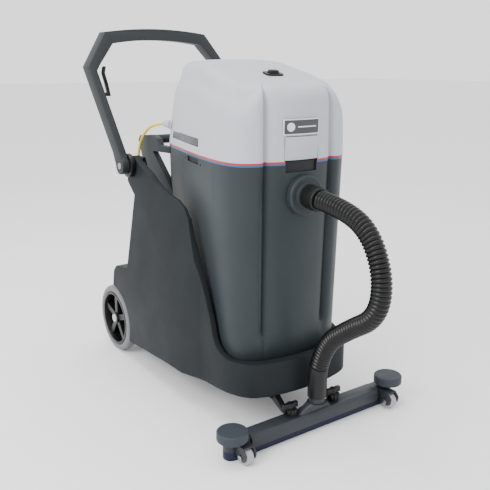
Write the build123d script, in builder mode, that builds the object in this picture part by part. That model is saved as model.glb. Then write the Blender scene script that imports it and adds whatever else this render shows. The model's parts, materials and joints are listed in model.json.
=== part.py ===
"""Wet and dry vacuum cleaner: tank on a wheeled trolley, push handle, front squeegee.

Units are millimetres. +Z is up, the front of the machine faces -Y, X = 0 is its
plane of symmetry, and the origin is on the floor under the middle of the machine.
"""

import os
from math import pi, radians, tan

from build123d import *

os.makedirs("parts", exist_ok=True)

SIDES = ((-1, "left"), (1, "right"))
RUN = 0.05  # radial running clearance of a shaft in its hole
GAP = 0.4  # clearance between bodies that move apart

# Tank and head
SEAM_Z = 669  # where the head sits on the tank
TANK_BOTTOM_Z = 112
TANK_BOTTOM_SCALE = 0.955  # draft of the moulded tank, as a share of its top outline
TANK_WALL_SCALE = 0.972
HEAD_TOP_Z = 898
STRIPE_PROUD = 0.8

# Trolley
TROLLEY_HALF_WIDTH = 207
LIP_Z = 181
WELL_HALF_WIDTH = 150
WING_LEAN = 0.108  # inward lean of the wings above the fenders
SKIN = 5
WELL_FRONT_X = 172
FLOOR_BOTTOM_Z = 100

# Rear wheels
AXLE_Y = 345
WHEEL_R = 105
RIM_R = 86
AXLE_R = 8
BEAM_HALF_WIDTH = 168
TYRE_INNER_X = 175
TYRE_OUTER_X = 207
HUB_INNER_X = 171.4
HUB_OUTER_X = 204
WEB_THICK = 4
SPOKES = 5

# Push handle
PIVOT_Y = 241.5
PIVOT_Z = 604
PIVOT_R = 5
ARM_INNER_X = 189.5
ARM_OUTER_X = 211
ARM_WIDTH = 43
DISC_INNER_X = 176  # the bearing disc starts clear of the leaning wing

# Front squeegee
SQUEEGEE_Y = -400
BAR_HALF_LENGTH = 250
BLADE_FRONT_Y = -402
BLADE_BACK_Y = -364
BLADE_THICK = 4
BLADE_TOP_Z = 22
BAR_TOP_Z = 52
ROLLER_X = 252
ROLLER_R = 37
FRONT_WHEEL_X = 232
FRONT_WHEEL_Y = -425
FRONT_WHEEL_R = 20
FLOAT_Y = -312  # hinge line on which the squeegee floats
FLOAT_Z = 84
ARM_X = 70

# Trolley castors
CASTOR_X = 85
CASTOR_Y = 5
CASTOR_TRAIL = 24
CASTOR_WHEEL_R = 37.5

# Hose and mains lead
HOSE_D = 47
INLET_Z = 587
HOSE_ROUTE = [
    (-392, 584), (-468, 578), (-553, 543), (-600, 450), (-588, 357),
    (-500, 300), (-424, 240), (-404, 175),
]
CORD_D = 8
CORD_ROUTE = [
    (-88, 197, 722), (-93, 240, 717), (-98, 290, 698), (-103, 326, 655), (-106, 340, 590),
    (-100, 346, 510), (-92, 340, 430), (-80, 352, 350), (-64, 376, 275), (-48, 396, 205),
    (-38, 412, 140), (-26, 425, 82), (-4, 434, 36), (34, 440, 10), (75, 441, 5),
]
COIL_CENTRE = (75, 530)
COIL_INNER_R = 49
COIL_OUTER_R = 93
PLUG_X = 143


def save(builder, name):
    """Label a finished piece and write it."""
    builder.part.label = name
    export_step(builder.part, f"parts/{name}.step")


def tank_outline(scale):
    """Plan of the tank and head: bowed front panel, two corner lobes, narrowing sides."""
    half = [(84, -315), (98, -296), (111, -315), (147, -298), (164, -275), (169, -237),
            (165, -184), (155, -119), (139, -39), (112, 69), (84, 176)]
    right = [(x * scale, y * scale) for x, y in half]
    left = [(-x, y) for x, y in right]
    Line(left[0], (-60 * scale, -323 * scale))
    ThreePointArc((-60 * scale, -323 * scale), (0, -330 * scale), (60 * scale, -323 * scale))
    Line((60 * scale, -323 * scale), right[0])
    Polyline(*right)
    ThreePointArc(right[-1], (0, 221 * scale), left[-1])
    Polyline(*reversed(left))


def tank_scale(z):
    """Scale of the tank's outline at a height, from its draft."""
    share = (SEAM_Z - z) / (SEAM_Z - TANK_BOTTOM_Z)
    return 1 - (1 - TANK_BOTTOM_SCALE) * share


def outline_block(levels):
    """Solid between outlines, each given as (height, scale)."""
    with BuildPart() as block:
        for z, scale in levels:
            with BuildSketch(Plane.XY.offset(z)):
                with BuildLine():
                    tank_outline(scale)
                make_face()
        loft(ruled=True)
    return block.part


def yz_plate(points, x_low, x_high):
    """Plate with a side-view outline (y, z), between two X positions."""
    with BuildPart() as plate:
        with BuildSketch(Plane.YZ.offset(x_low)):
            with BuildLine():
                Polyline(*points, close=True)
            make_face()
        extrude(amount=x_high - x_low)
    return plate.part


def x_cylinder(x_low, x_high, y, z, radius):
    """Round bar along X."""
    with BuildPart() as bar:
        with BuildSketch(Plane.YZ.offset(x_low)):
            with Locations((y, z)):
                Circle(radius)
        extrude(amount=x_high - x_low)
    return bar.part


def z_cylinder(x, y, z_low, z_high, radius):
    """Upright round bar."""
    with BuildPart() as bar:
        with BuildSketch(Plane.XY.offset(z_low)):
            with Locations((x, y)):
                Circle(radius)
        extrude(amount=z_high - z_low)
    return bar.part


def block(x, y, z):
    """Box from three (low, high) pairs."""
    with BuildPart() as box:
        with BuildSketch(Plane.XY.offset(z[0])):
            with Locations(((x[0] + x[1]) / 2, (y[0] + y[1]) / 2)):
                Rectangle(x[1] - x[0], y[1] - y[0])
        extrude(amount=z[1] - z[0])
    return box.part


def wall_recess(x, y, z, depth_scale):
    """A shallow recess tool: a box less the core that stays behind the recess."""
    core = outline_block([(z[0] - 1, tank_scale(z[0] - 1) * depth_scale),
                          (z[1] + 1, tank_scale(z[1] + 1) * depth_scale)])
    with BuildPart() as tool:
        add(block(x, y, z))
        add(core, mode=Mode.SUBTRACT)
    return tool.part


# ---------------------------------------------------------------- trolley
WING_PROFILE = [
    (-362, 100), (-290, 100), (-194, 93), (-10, 63), (239, 63), (300, 85), (351, 110), (342, 215),
    (330, 268), (311, 288), (236, 298), (214, 521), (262, 554), (271, 580), (270, 606),
    (254, 628), (232, 632), (212, 618), (165, 599), (112, 579), (9, 553), (-40, 546),
    (-73, 532), (-97, 506), (-110, 474), (-145, 399), (-180, 325), (-206, 258),
    (-212, 232), (-224, 210), (-244, 195), (-272, LIP_Z + 6), (-362, LIP_Z + 6),
]
PLAN_FRONT = [(0, -362), (60, -359), (110, -349), (151, -331), (173, -300), (184, -255),
              (189, -153)]
PLAN_SIDE = [(189, -153), (TROLLEY_HALF_WIDTH, -85), (TROLLEY_HALF_WIDTH, 351)]
WELL_FRONT = [(0, -341), (88, -330), (136, -312), (160, -284), (170, -240), (WELL_FRONT_X, -190)]
WELL_SIDE = [(WELL_FRONT_X, -190), (WELL_FRONT_X, -60), (167, 40), (WELL_HALF_WIDTH, 140),
             (WELL_HALF_WIDTH, 400)]


def plan_prism(front, side, z_low, z_high):
    """Upright prism from the right half of a plan: a curved front and straight sides."""
    with BuildPart() as prism:
        with BuildSketch(Plane.XY.offset(z_low)):
            with BuildLine():
                Spline(*[(-x, y) for x, y in reversed(front)], *front[1:])
                Polyline(*side)
                Polyline(*[(-x, y) for x, y in side])
                Line(side[-1], (-side[-1][0], side[-1][1]))
            make_face()
        extrude(amount=z_high - z_low)
    return prism.part


def side_lean(outer_x):
    """Wedge that leans a wing's outer face inwards above the fender."""
    with BuildPart() as wedge:
        with BuildSketch(Plane.XZ.offset(-400)):
            with BuildLine():
                Polyline((outer_x, 280), (outer_x + 60, 280), (outer_x + 60, 700),
                         (outer_x - 420 * WING_LEAN, 700), close=True)
            make_face()
        extrude(amount=800)
    return wedge.part


def wing_hollow():
    """Space inside the right wing, open at the bottom."""
    outer_x = TROLLEY_HALF_WIDTH - SKIN
    with BuildPart() as hollow:
        with BuildSketch(Plane.XY.offset(20)):
            with BuildLine():
                Polyline((WELL_FRONT_X + SKIN, -76), (WELL_FRONT_X + SKIN, 40),
                         (WELL_HALF_WIDTH + SKIN, 150), (WELL_HALF_WIDTH + SKIN, 344),
                         (outer_x, 344), (outer_x, -76), close=True)
            make_face()
        extrude(amount=700)
        add(yz_plate([(-76, 20), (-76, 500), (-50, 530), (8, 544), (160, 586), (206, 600),
                      (206, 518), (228, 290), (306, 279), (322, 262), (334, 214), (344, 110),
                      (344, 20)], 0, 300), mode=Mode.INTERSECT)
        add(side_lean(outer_x), mode=Mode.SUBTRACT)
    return hollow.part


with BuildPart() as trolley:
    add(yz_plate(WING_PROFILE, -TROLLEY_HALF_WIDTH, TROLLEY_HALF_WIDTH))
    add(plan_prism(PLAN_FRONT, PLAN_SIDE, 0, 700), mode=Mode.INTERSECT)
    add(plan_prism(WELL_FRONT, WELL_SIDE, TANK_BOTTOM_Z, 700), mode=Mode.SUBTRACT)
    add(block((-166, 166), (-290, 290), (0, FLOOR_BOTTOM_Z)), mode=Mode.SUBTRACT)
    add(side_lean(TROLLEY_HALF_WIDTH), mode=Mode.SUBTRACT)
    add(mirror(side_lean(TROLLEY_HALF_WIDTH), about=Plane.YZ, mode=Mode.PRIVATE),
        mode=Mode.SUBTRACT)
    add(wing_hollow(), mode=Mode.SUBTRACT)
    add(mirror(wing_hollow(), about=Plane.YZ, mode=Mode.PRIVATE), mode=Mode.SUBTRACT)
    add(block((-BEAM_HALF_WIDTH, BEAM_HALF_WIDTH), (285, 370), (86, TANK_BOTTOM_Z + 12)))
    for side, _ in SIDES:
        low, high = sorted((side * BEAM_HALF_WIDTH, side * 230))
        add(x_cylinder(low, high, AXLE_Y, WHEEL_R, WHEEL_R + 8), mode=Mode.SUBTRACT)
    add(x_cylinder(-180, 180, AXLE_Y, WHEEL_R, AXLE_R + RUN), mode=Mode.SUBTRACT)
    add(x_cylinder(-230, 230, PIVOT_Y, PIVOT_Z, PIVOT_R + RUN), mode=Mode.SUBTRACT)
    for side, _ in SIDES:
        add(z_cylinder(side * CASTOR_X, CASTOR_Y, 90, 108, 6 + RUN), mode=Mode.SUBTRACT)
save(trolley, "trolley_shell")
print("trolley", trolley.part.is_valid, round(trolley.part.volume), len(trolley.part.solids()))

with BuildPart() as axle:
    add(x_cylinder(-HUB_OUTER_X + 2, HUB_OUTER_X - 2, AXLE_Y, WHEEL_R, AXLE_R))
save(axle, "rear_axle")

with BuildPart() as washers:
    for side, _ in SIDES:
        low, high = sorted((side * (BEAM_HALF_WIDTH + 0.1), side * (HUB_INNER_X - 0.4)))
        add(x_cylinder(low, high, AXLE_Y, WHEEL_R, 16))
    add(x_cylinder(-230, 230, AXLE_Y, WHEEL_R, AXLE_R + RUN), mode=Mode.SUBTRACT)
save(washers, "axle_washers")


# ---------------------------------------------------------------- rear wheels
def ring_profile(points):
    """Ring about the rear axle from (x, radius) points."""
    with BuildPart() as ring:
        with BuildSketch(Plane.XZ):
            with BuildLine():
                Polyline(*points, close=True)
            make_face()
        revolve(axis=Axis.X)
    return ring.part


def at_axle(part):
    """Carry a ring made about the X axis to the rear axle line."""
    return part.moved(Location((0, AXLE_Y, WHEEL_R)))


for side, name in SIDES:
    inner, outer = side * TYRE_INNER_X, side * TYRE_OUTER_X
    with BuildPart() as tyre:
        add(at_axle(ring_profile([
            (inner, RIM_R), (inner, WHEEL_R - 6), (inner + side * 6, WHEEL_R),
            (outer - side * 6, WHEEL_R), (outer, WHEEL_R - 6), (outer, RIM_R),
        ])))
    save(tyre, f"rear_tyre_{name}")

    middle = (inner + outer) / 2
    with BuildPart() as rim:
        add(at_axle(ring_profile([(inner, 77), (inner, RIM_R), (outer, RIM_R), (outer, 77)])))
        add(at_axle(ring_profile([
            (side * HUB_INNER_X, 0.5), (side * HUB_INNER_X, 20), (side * HUB_OUTER_X, 17),
            (side * HUB_OUTER_X, 0.5),
        ])))
        for index in range(SPOKES):
            angle = 90 + 360 / SPOKES * index
            spoke = block((middle - 8, middle + 8), (-9, 9), (12, 80))
            spoke = spoke.rotate(Axis.X, angle - 90)
            add(spoke.moved(Location((0, AXLE_Y, WHEEL_R))))
        low, high = sorted((inner, inner + side * WEB_THICK))
        add(x_cylinder(low, high, AXLE_Y, WHEEL_R, 78))
        low, high = sorted((side * HUB_INNER_X, side * HUB_OUTER_X))
        add(x_cylinder(low, high, AXLE_Y, WHEEL_R, AXLE_R + RUN), mode=Mode.SUBTRACT)
    save(rim, f"rear_wheel_{name}")

    low, high = sorted((side * HUB_OUTER_X, side * (HUB_OUTER_X + 5)))
    with BuildPart() as cap:
        add(x_cylinder(low, high, AXLE_Y, WHEEL_R, 13))
    save(cap, f"hub_cap_{name}")

# ---------------------------------------------------------------- trolley castors
for side, name in SIDES:
    x = side * CASTOR_X
    wheel_y = CASTOR_Y + CASTOR_TRAIL
    with BuildPart() as fork:
        add(z_cylinder(x, CASTOR_Y, 89, 106, 6))
        add(block((x - 19, x + 19), (CASTOR_Y - 24, wheel_y + 10), (84, 89)))
        for cheek in (-1, 1):
            inner_x, outer_x = sorted((x + cheek * 14, x + cheek * 18))
            add(yz_plate([(CASTOR_Y - 22, 88), (wheel_y + 9, 88), (wheel_y + 9, 30),
                          (wheel_y - 9, 30)], inner_x, outer_x))
        add(x_cylinder(x - 20, x + 20, wheel_y, CASTOR_WHEEL_R, 4))
    save(fork, f"castor_fork_{name}")
    with BuildPart() as wheel:
        add(x_cylinder(x - 13, x + 13, wheel_y, CASTOR_WHEEL_R, CASTOR_WHEEL_R))
        fillet(wheel.edges().filter_by(GeomType.CIRCLE), 4)
        add(x_cylinder(x - 30, x + 30, wheel_y, CASTOR_WHEEL_R, 4 + RUN), mode=Mode.SUBTRACT)
    save(wheel, f"castor_wheel_{name}")

# ---------------------------------------------------------------- tank
with BuildPart() as tank:
    add(outline_block([(TANK_BOTTOM_Z, TANK_BOTTOM_SCALE), (SEAM_Z, 1)]))
    add(outline_block([(TANK_BOTTOM_Z + 6, TANK_BOTTOM_SCALE * TANK_WALL_SCALE),
                       (SEAM_Z + 6, TANK_WALL_SCALE)]), mode=Mode.SUBTRACT)
    add(wall_recess((-46, 46), (-345, -300), (636, SEAM_Z + 1), 0.985), mode=Mode.SUBTRACT)
    for side, _ in SIDES:
        low, high = sorted((side * 120, side * 180))
        add(wall_recess((low, high), (-100, -30), (638, 654), 0.982), mode=Mode.SUBTRACT)
    with BuildSketch(Plane.XZ.offset(300)):
        with Locations((0, INLET_Z)):
            Circle(24)
    extrude(amount=60, mode=Mode.SUBTRACT)
save(tank, "tank")

for name, z_low, z_high in (("stripe_red", 664.4, 669), ("stripe_blue", 659.6, 664.2)):
    with BuildPart() as stripe:
        add(outline_block([(z_low, tank_scale(z_low) + STRIPE_PROUD / 200),
                           (z_high, tank_scale(z_high) + STRIPE_PROUD / 200)]))
        add(outline_block([(z_low, tank_scale(z_low)), (z_high, tank_scale(z_high))]),
            mode=Mode.SUBTRACT)
        add(block((-47, 47), (-350, -280), (650, 680)), mode=Mode.SUBTRACT)
    save(stripe, name)

INLET_FACE_Y = -345  # front face of the inlet's flange
with BuildPart() as inlet:
    with BuildSketch(Plane.XZ.offset(-INLET_FACE_Y)):
        with Locations((0, INLET_Z)):
            Circle(49)
    extrude(amount=-18)
    fillet(inlet.edges().filter_by(GeomType.CIRCLE).group_by(Axis.Y)[0], 6)
    with BuildSketch(Plane.XZ.offset(-INLET_FACE_Y)):
        with Locations((0, INLET_Z)):
            Circle(34)
    extrude(amount=8)
    with BuildSketch(Plane.XZ.offset(-INLET_FACE_Y + 20)):
        with Locations((0, INLET_Z)):
            Circle(23)
    extrude(amount=-60, mode=Mode.SUBTRACT)
    add(outline_block([(500, tank_scale(500)), (660, tank_scale(660))]), mode=Mode.SUBTRACT)
save(inlet, "inlet_ring")

# Carrying and tipping grip on the back of the tank
GRIP_SIDE = [(160, 640), (268, 636), (140, 522), (140, 470), (306, 571), (337, 609),
             (361, 660), (350, 676), (264, 684), (238, 674), (226, 657), (160, 657)]
with BuildPart() as grip:
    for side, _ in SIDES:
        low, high = sorted((side * 72, side * 90))
        add(yz_plate(GRIP_SIDE, low, high))
    add(x_cylinder(-72, 72, 343, 661, 14))
    add(outline_block([(440, tank_scale(440)), (SEAM_Z, 1)]), mode=Mode.SUBTRACT)
save(grip, "tipping_grip")
print("grip solids", len(grip.part.solids()))

# ---------------------------------------------------------------- head
ROOF_EDGE = (-300, 838)  # where the sloping roof meets the rounded front
ROOF_BREAK_Y = -70  # where the slope meets the flat top
HEAD_SIDE = [(-345, 640), (-345, 795), (-328, 822), ROOF_EDGE, (ROOF_BREAK_Y, HEAD_TOP_Z),
             (140, HEAD_TOP_Z), (200, 868), (234, 800), (240, 640)]
HEAD_FRONT = [(-185, 640), (-185, 780), (-160, 822), (-130, 860), (-76, HEAD_TOP_Z),
              (76, HEAD_TOP_Z), (130, 860), (160, 822), (185, 780), (185, 640)]
HEAD_Z = SEAM_Z + GAP


def head_solid(shrink):
    """Faceted dome over the tank's outline, smaller by a shell thickness."""
    with BuildPart() as dome:
        add(outline_block([(HEAD_Z, 1.004 - shrink / 200), (HEAD_TOP_Z, 0.955 - shrink / 200)]))
        add(yz_plate([(y * (1 - shrink / 300), z - shrink) for y, z in HEAD_SIDE], -220, 220),
            mode=Mode.INTERSECT)
        with BuildSketch(Plane.XZ.offset(-400)) as front:
            with BuildLine():
                Polyline(*[(x * (1 - shrink / 200), z - shrink) for x, z in HEAD_FRONT],
                         close=True)
            make_face()
        extrude(amount=800, mode=Mode.INTERSECT)
    return dome.part


SWITCH_Y = -205
ROOF_RISE = HEAD_TOP_Z - ROOF_EDGE[1]
ROOF_RUN = ROOF_BREAK_Y - ROOF_EDGE[0]
SWITCH_Z = HEAD_TOP_Z + (SWITCH_Y - ROOF_BREAK_Y) * ROOF_RISE / ROOF_RUN
with BuildPart() as head:
    add(head_solid(0))
    add(head_solid(SKIN), mode=Mode.SUBTRACT)
    add(outline_block([(HEAD_Z - 2, 0.975), (HEAD_Z + 6, 0.975)]), mode=Mode.SUBTRACT)
    for side, _ in SIDES:
        low, high = sorted((side * 60, side * 180))
        add(wall_recess((low, high), (-110, 50), (690, 708), 0.986), mode=Mode.SUBTRACT)
    add(block((-50, 50), (-345, -318), (HEAD_Z - 1, 728)), mode=Mode.SUBTRACT)
save(head, "head_cover")
print("head", head.part.is_valid, len(head.part.solids()))

# Latch flap on the front of the head, hinged along its top edge
FLAP_HALF = 48
FLAP_TOP_Z = 725
FLAP_Y = -333
with BuildPart() as flap:
    add(block((-FLAP_HALF, FLAP_HALF), (FLAP_Y, FLAP_Y + 8), (HEAD_Z + 3, FLAP_TOP_Z)))
    fillet(flap.edges().filter_by(Axis.Y).group_by(Axis.Z)[-1], 6)
save(flap, "latch_flap")

with BuildPart() as badge:
    add(block((-51, 51), (-340, -300), (733, 769)))
    add(outline_block([(700, 1.004), (800, 0.982)]), mode=Mode.SUBTRACT)
save(badge, "badge_plate")

# Rocker switch in its bezel, square to the sloping roof
ROOF = Plane(origin=(0, SWITCH_Y, SWITCH_Z), x_dir=(1, 0, 0), z_dir=(0, -ROOF_RISE, ROOF_RUN))
with BuildPart() as bezel:
    with BuildSketch(ROOF.offset(0.2)):
        RectangleRounded(50, 30, 9)
    extrude(amount=4)
    with BuildSketch(ROOF):
        Rectangle(31, 17)
    extrude(amount=6, mode=Mode.SUBTRACT)
save(bezel, "switch_bezel")
with BuildPart() as rocker:
    with BuildSketch(ROOF.offset(2)):
        Rectangle(28, 14)
    extrude(amount=9, taper=10)
save(rocker, "rocker_switch")

# Lead inlet on the back left of the head
with BuildPart() as gland:
    with BuildSketch(Plane(origin=(-88, 150, 722), z_dir=(0, 1, 0))):
        Circle(13)
    extrude(amount=34, taper=6)
    with BuildSketch(Plane(origin=(-88, 170, 722), z_dir=(0, 1, 0))):
        Circle(7.5)
    extrude(amount=26, taper=3)
    add(outline_block([(690, 1.003), (760, 0.989)]), mode=Mode.SUBTRACT)
save(gland, "cord_gland")

# Suction unit inside the head
with BuildPart() as motor_plate:
    add(outline_block([(HEAD_Z + 7, 0.955), (HEAD_Z + 14, 0.953)]))
    add(z_cylinder(0, -40, HEAD_Z, 700, 26), mode=Mode.SUBTRACT)
save(motor_plate, "motor_plate")
with BuildPart() as gasket:
    add(outline_block([(SEAM_Z - 10, 0.955), (HEAD_Z + 6, 0.96)]))
    add(outline_block([(SEAM_Z - 11, 0.93), (HEAD_Z + 7, 0.93)]), mode=Mode.SUBTRACT)
save(gasket, "head_gasket")
MOTOR_Y = -40
with BuildPart() as fan_case:
    add(z_cylinder(0, MOTOR_Y, HEAD_Z + 14, 736, 88))
    add(z_cylinder(0, MOTOR_Y, HEAD_Z + 18, 732, 84), mode=Mode.SUBTRACT)
    add(z_cylinder(0, MOTOR_Y, HEAD_Z, 700, 36), mode=Mode.SUBTRACT)
    add(z_cylinder(0, MOTOR_Y, 730, 740, 10), mode=Mode.SUBTRACT)
save(fan_case, "fan_case")
with BuildPart() as fan:
    add(z_cylinder(0, MOTOR_Y, 694, 697, 78))
    add(z_cylinder(0, MOTOR_Y, 718, 721, 78))
    add(z_cylinder(0, MOTOR_Y, 690, 790, 6))
    for index in range(8):
        blade = block((26, 76), (-1.5, 1.5), (697, 718)).rotate(Axis.Z, 360 / 8 * index)
        add(blade.moved(Location((0, MOTOR_Y, 0))))
save(fan, "suction_fan")
with BuildPart() as motor:
    add(z_cylinder(0, MOTOR_Y, 736, 806, 60))
    add(z_cylinder(0, MOTOR_Y, 730, 795, 6 + RUN), mode=Mode.SUBTRACT)
save(motor, "suction_motor")
with BuildPart() as cage:
    add(z_cylinder(0, MOTOR_Y, 572, HEAD_Z + 7, 46))
    add(z_cylinder(0, MOTOR_Y, 576, HEAD_Z + 8, 42), mode=Mode.SUBTRACT)
    for index in range(3):
        slot = block((-60, 60), (-14, 14), (582, 640)).rotate(Axis.Z, 60 * index)
        add(slot.moved(Location((0, MOTOR_Y, 0))), mode=Mode.SUBTRACT)
save(cage, "float_cage")
with BuildPart() as ball:
    with Locations((0, MOTOR_Y, 576.5 + 32)):
        Sphere(32)
save(ball, "float_ball")
with BuildPart() as filter_sleeve:
    add(z_cylinder(0, MOTOR_Y, 566, HEAD_Z + 7, 74))
    add(z_cylinder(0, MOTOR_Y, 565, HEAD_Z + 8, 62), mode=Mode.SUBTRACT)
save(filter_sleeve, "filter_sleeve")

# ---------------------------------------------------------------- push handle
HANDLE_FRONT_OUTER = [(ARM_OUTER_X, 560), (ARM_OUTER_X, 640), (238, 879), (170, 978)]
HANDLE_FRONT_INNER = [(151, 945), (214, 868), (ARM_INNER_X, 642), (ARM_INNER_X, 560)]
HANDLE_LINE = [(PIVOT_Y, PIVOT_Z), (385, 879), (409, 978), (409, 1000)]
with BuildPart() as side_band:
    with BuildSketch(Plane.YZ.offset(-300)):
        with BuildLine():
            spine = Polyline(*HANDLE_LINE)
        trace(spine, line_width=ARM_WIDTH)
        with Locations((PIVOT_Y, PIVOT_Z)):
            Circle(ARM_WIDTH / 2 + 3)
    extrude(amount=600)

with BuildPart() as handle:
    with BuildSketch(Plane.XZ.offset(-600)):
        with BuildLine():
            Polyline(*HANDLE_FRONT_OUTER)
            ThreePointArc(HANDLE_FRONT_OUTER[-1], (0, 990), (-170, 978))
            Polyline(*[(-x, z) for x, z in reversed(HANDLE_FRONT_OUTER)])
            Line((-ARM_OUTER_X, 560), (-ARM_INNER_X, 560))
            Polyline(*[(-x, z) for x, z in reversed(HANDLE_FRONT_INNER)])
            ThreePointArc((-151, 945), (0, 957), (151, 945))
            Polyline(*HANDLE_FRONT_INNER)
            Line((ARM_INNER_X, 560), (ARM_OUTER_X, 560))
        make_face()
    extrude(amount=500)
    add(side_band.part, mode=Mode.INTERSECT)
    for side, _ in SIDES:
        low, high = sorted((side * (ARM_OUTER_X - 3), side * 240))
        add(x_cylinder(low, high, PIVOT_Y, PIVOT_Z, 11), mode=Mode.SUBTRACT)
    add(x_cylinder(-240, 240, PIVOT_Y, PIVOT_Z, PIVOT_R + RUN), mode=Mode.SUBTRACT)
save(handle, "push_handle")
print("handle", handle.part.is_valid, len(handle.part.solids()), handle.part.bounding_box())

with BuildPart() as discs:
    for side, _ in SIDES:
        low, high = sorted((side * DISC_INNER_X, side * (ARM_INNER_X - GAP)))
        add(x_cylinder(low, high, PIVOT_Y, PIVOT_Z, 34))
    add(x_cylinder(-200, 200, PIVOT_Y, PIVOT_Z, PIVOT_R + RUN), mode=Mode.SUBTRACT)
save(discs, "pivot_discs")
with BuildPart() as bolts:
    for side, _ in SIDES:
        low, high = sorted((side * 138, side * (ARM_OUTER_X - 3)))
        add(x_cylinder(low, high, PIVOT_Y, PIVOT_Z, PIVOT_R))
        low, high = sorted((side * (ARM_OUTER_X - 3 + GAP), side * (ARM_OUTER_X + 1)))
        add(x_cylinder(low, high, PIVOT_Y, PIVOT_Z, 10))
        low, high = sorted((side * (ARM_OUTER_X - 4), side * ARM_OUTER_X))
        add(x_cylinder(low, high, PIVOT_Y, PIVOT_Z, PIVOT_R))
save(bolts, "pivot_bolts")

for side, name in SIDES:
    low, high = sorted((side * 134, side * (WELL_HALF_WIDTH - GAP)))
    with BuildPart() as knob:
        with BuildSketch(Plane.YZ.offset(low)):
            with Locations((PIVOT_Y, PIVOT_Z)):
                Circle(17)
                with PolarLocations(19, 6):
                    Circle(6)
        extrude(amount=high - low)
        add(x_cylinder(low, high, PIVOT_Y, PIVOT_Z, PIVOT_R + RUN), mode=Mode.SUBTRACT)
        low, high = sorted((side * 130, side * 137))
        add(x_cylinder(low, high, PIVOT_Y, PIVOT_Z, 15))
    save(knob, f"clamp_knob_{name}")

# Cord hook on the inside of the left arm
with BuildPart() as hook:
    with BuildSketch(Plane.XZ.offset(-335)):
        with BuildLine():
            Polyline((-206.1, 796), (-184, 796), (-191, 832), (-199, 862), (-195, 880),
                     (-200, 881), (-205, 862), (-197, 830), (-192, 806), (-207.2, 806), close=True)
        make_face()
    extrude(amount=-18)
save(hook, "cord_hook")


# ---------------------------------------------------------------- front squeegee
def blade_loop(inset):
    """Racetrack round both blades, smaller by an inset."""
    depth = BLADE_BACK_Y - BLADE_FRONT_Y - 2 * inset
    with Locations((0, (BLADE_BACK_Y + BLADE_FRONT_Y) / 2)):
        SlotCenterToCenter(2 * (BAR_HALF_LENGTH - 4), depth)


with BuildPart() as blade:
    with BuildSketch(Plane.XY.offset(1)):
        blade_loop(0)
        with BuildSketch(mode=Mode.SUBTRACT):
            blade_loop(BLADE_THICK)
    extrude(amount=BLADE_TOP_Z - 1)
save(blade, "squeegee_blade")

with BuildPart() as bar:
    add(yz_plate([(-411, BLADE_TOP_Z), (-411, 44), (-404, BAR_TOP_Z), (-368, BAR_TOP_Z),
                  (-362, 46), (-362, BLADE_TOP_Z)], -204, 204))
    with BuildSketch(Plane.XY.offset(BLADE_TOP_Z)):
        blade_loop(0)
    extrude(amount=BAR_TOP_Z - BLADE_TOP_Z - 4)
    add(block((-200, 200), (-392, -374), (BLADE_TOP_Z - 1, 36)), mode=Mode.SUBTRACT)
    add(z_cylinder(0, -383, 30, 60, 15), mode=Mode.SUBTRACT)
save(bar, "squeegee_bar")

with BuildPart() as neck:
    with BuildSketch(Plane.XY.offset(BAR_TOP_Z)):
        with Locations((0, SQUEEGEE_Y + 14)):
            RectangleRounded(104, 34, 14)
    with BuildSketch(Plane.XY.offset(78)):
        with Locations((0, SQUEEGEE_Y)):
            Circle(24)
    loft()
    add(z_cylinder(0, SQUEEGEE_Y, 78, 92, 20))
    add(z_cylinder(0, SQUEEGEE_Y, 76, 93, 16), mode=Mode.SUBTRACT)
    with BuildSketch(Plane.XY.offset(BAR_TOP_Z)):
        with Locations((0, SQUEEGEE_Y + 15)):
            Circle(13)
    with BuildSketch(Plane.XY.offset(77)):
        with Locations((0, SQUEEGEE_Y)):
            Circle(16)
    loft(mode=Mode.SUBTRACT)
save(neck, "squeegee_neck")

with BuildPart() as posts:
    for side, _ in SIDES:
        x = side * ROLLER_X
        add(z_cylinder(x, -385, BAR_TOP_Z - 4, 53, 17))
        add(z_cylinder(x, -399, 53, 56, 12))
        add(z_cylinder(x, -399, 50, 74, 6))
save(posts, "roller_posts")

with BuildPart() as forks:
    for side, _ in SIDES:
        wheel_x = side * FRONT_WHEEL_X
        for cheek in (-1, 1):
            low, high = sorted((wheel_x + cheek * 12, wheel_x + cheek * 15))
            add(yz_plate([(-402.5, 24), (-402.5, 47), (-436, 46), (-447, 34), (-444, 20),
                          (-436, 12), (-418, 12), (-406, 18)], low, high))
        add(block((wheel_x - 15, wheel_x + 15), (-436, -402.5), (43, 47)))
    add(x_cylinder(-300, 300, FRONT_WHEEL_Y, FRONT_WHEEL_R, 3 + RUN), mode=Mode.SUBTRACT)
save(forks, "front_forks")

with BuildPart() as pins:
    for side, _ in SIDES:
        wheel_x = side * FRONT_WHEEL_X
        add(x_cylinder(wheel_x - 16, wheel_x + 16, FRONT_WHEEL_Y, FRONT_WHEEL_R, 3))
        for cheek in (-1, 1):
            low, high = sorted((wheel_x + cheek * 15, wheel_x + cheek * 19))
            add(x_cylinder(low, high, FRONT_WHEEL_Y, FRONT_WHEEL_R, 7))
save(pins, "front_wheel_pins")

with BuildPart() as arms:
    for side, _ in SIDES:
        x = side * ARM_X
        add(yz_plate([(FLOAT_Y + 9, FLOAT_Z - 8), (FLOAT_Y + 9, FLOAT_Z + 8),
                      (FLOAT_Y - 8, FLOAT_Z + 8), (-362, BAR_TOP_Z + 6), (-394, BAR_TOP_Z + 6),
                      (-394, BAR_TOP_Z), (-358, BAR_TOP_Z)], x - 8, x + 8))
        add(z_cylinder(x, -382, 40, 80, 4), mode=Mode.SUBTRACT)
    add(x_cylinder(-100, 100, FLOAT_Y, FLOAT_Z, 4 + RUN), mode=Mode.SUBTRACT)
save(arms, "squeegee_arms")

with BuildPart() as studs:
    for side, _ in SIDES:
        add(z_cylinder(side * ARM_X, -382, BAR_TOP_Z, 66, 4))
save(studs, "squeegee_studs")

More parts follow.
